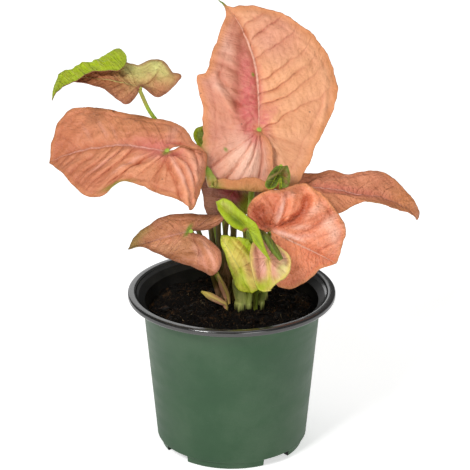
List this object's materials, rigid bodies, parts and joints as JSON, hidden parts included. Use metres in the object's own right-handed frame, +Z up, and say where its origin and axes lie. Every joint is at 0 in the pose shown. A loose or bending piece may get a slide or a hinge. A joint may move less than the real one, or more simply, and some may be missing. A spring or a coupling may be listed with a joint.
{
  "type": "potted syngonium",
  "caption": "House plant with salmon-pink arrow-shaped leaves on slender stalks, growing from dark soil in a round tapered green nursery pot with a wide black lip.",
  "frame": {"origin": "middle of the pot's flat underside, on the surface that the pot stands on", "axes": "+Z up along the pot's axis, -Y towards the front that the largest leaves face, +X to the right as seen from the front"},
  "size_m": [0.1889, 0.1091, 0.2215],
  "materials": {
    "green_plastic": "satin muted green moulded plastic with a black lip and inside",
    "soil": "dark damp peat and bark with pale fibres",
    "coral_leaf": "salmon to coral leaf skin, soft sheen, pink veins",
    "tan_leaf": "brown-pink leaf skin, soft sheen",
    "pink_leaf": "young pink leaf skin with a yellow-green edge",
    "green_leaf": "bright green leaf skin",
    "lime_leaf": "yellow-green leaf skin, paler along the middle",
    "dark_leaf": "dark green leaf skin",
    "green_stalk": "smooth green stalk",
    "pale_stalk": "smooth pale green stalk"
  },
  "bodies": {
    "root": {"pot": "green_plastic", "soil": "soil", "upright_leaf": "coral_leaf", "upright_stalk": "green_stalk", "left_leaf": "coral_leaf", "left_stalk": "green_stalk", "low_left_leaf": "tan_leaf", "low_left_stalk": "green_stalk", "front_leaf": "coral_leaf", "front_stalk": "green_stalk", "right_leaf": "coral_leaf", "right_stalk": "green_stalk", "top_left_leaf": "tan_leaf", "top_left_stalk": "green_stalk", "shaded_leaf": "tan_leaf", "shaded_stalk": "green_stalk", "back_leaf": "green_leaf", "back_stalk": "green_stalk", "green_leaf": "green_leaf", "green_stalk": "green_stalk", "lime_leaf": "lime_leaf", "lime_stalk": "pale_stalk", "cupped_leaf": "pink_leaf", "cupped_stalk": "green_stalk", "hooded_leaf": "dark_leaf", "hooded_stalk": "green_stalk", "rolled_leaf": "dark_leaf", "sprout": "pink_leaf"}
  },
  "joints": []
}
